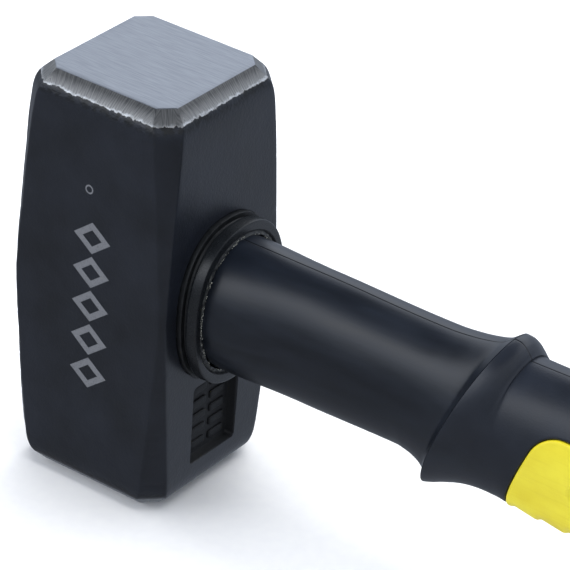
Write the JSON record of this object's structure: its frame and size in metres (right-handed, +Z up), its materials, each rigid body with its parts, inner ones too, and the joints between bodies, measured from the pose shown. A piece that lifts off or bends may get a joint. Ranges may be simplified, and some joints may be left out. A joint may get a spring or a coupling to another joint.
{
  "type": "club hammer",
  "caption": "Club hammer with a square forged double-faced steel head on a short oval fibreglass-cored handle with a guard and a two-colour soft grip.",
  "frame": {"origin": "centre of the lower striking face, which the hammer stands on", "axes": "+Z up the head to the upper striking face, +X along the handle towards the butt, cheeks on -Y and +Y"},
  "size_m": [0.26, 0.0464, 0.11],
  "materials": {
    "head_paint": "semi-gloss blue-black paint on forged steel, ground bare at both striking faces and their bevels",
    "fibreglass": "pultruded glass and polyester, translucent straw",
    "jacket_black": "satin moulded polypropylene",
    "resin": "cured dark epoxy, glossy",
    "seal_rubber": "black moulded rubber",
    "collar_black": "satin moulded nylon",
    "adhesive": "squeezed-out cured adhesive",
    "grip_black": "satin thermoplastic rubber with a fine grain",
    "grip_yellow": "satin thermoplastic rubber with faint lay lines"
  },
  "bodies": {
    "root": {"head": "head_paint", "core": "fibreglass", "jacket": "jacket_black", "eye_resin": "resin", "eye_seal": "seal_rubber", "collar": "collar_black", "adhesive_bead": "adhesive", "grip": "grip_black", "grip_insert": "grip_yellow", "butt_cap": "jacket_black"}
  },
  "joints": []
}
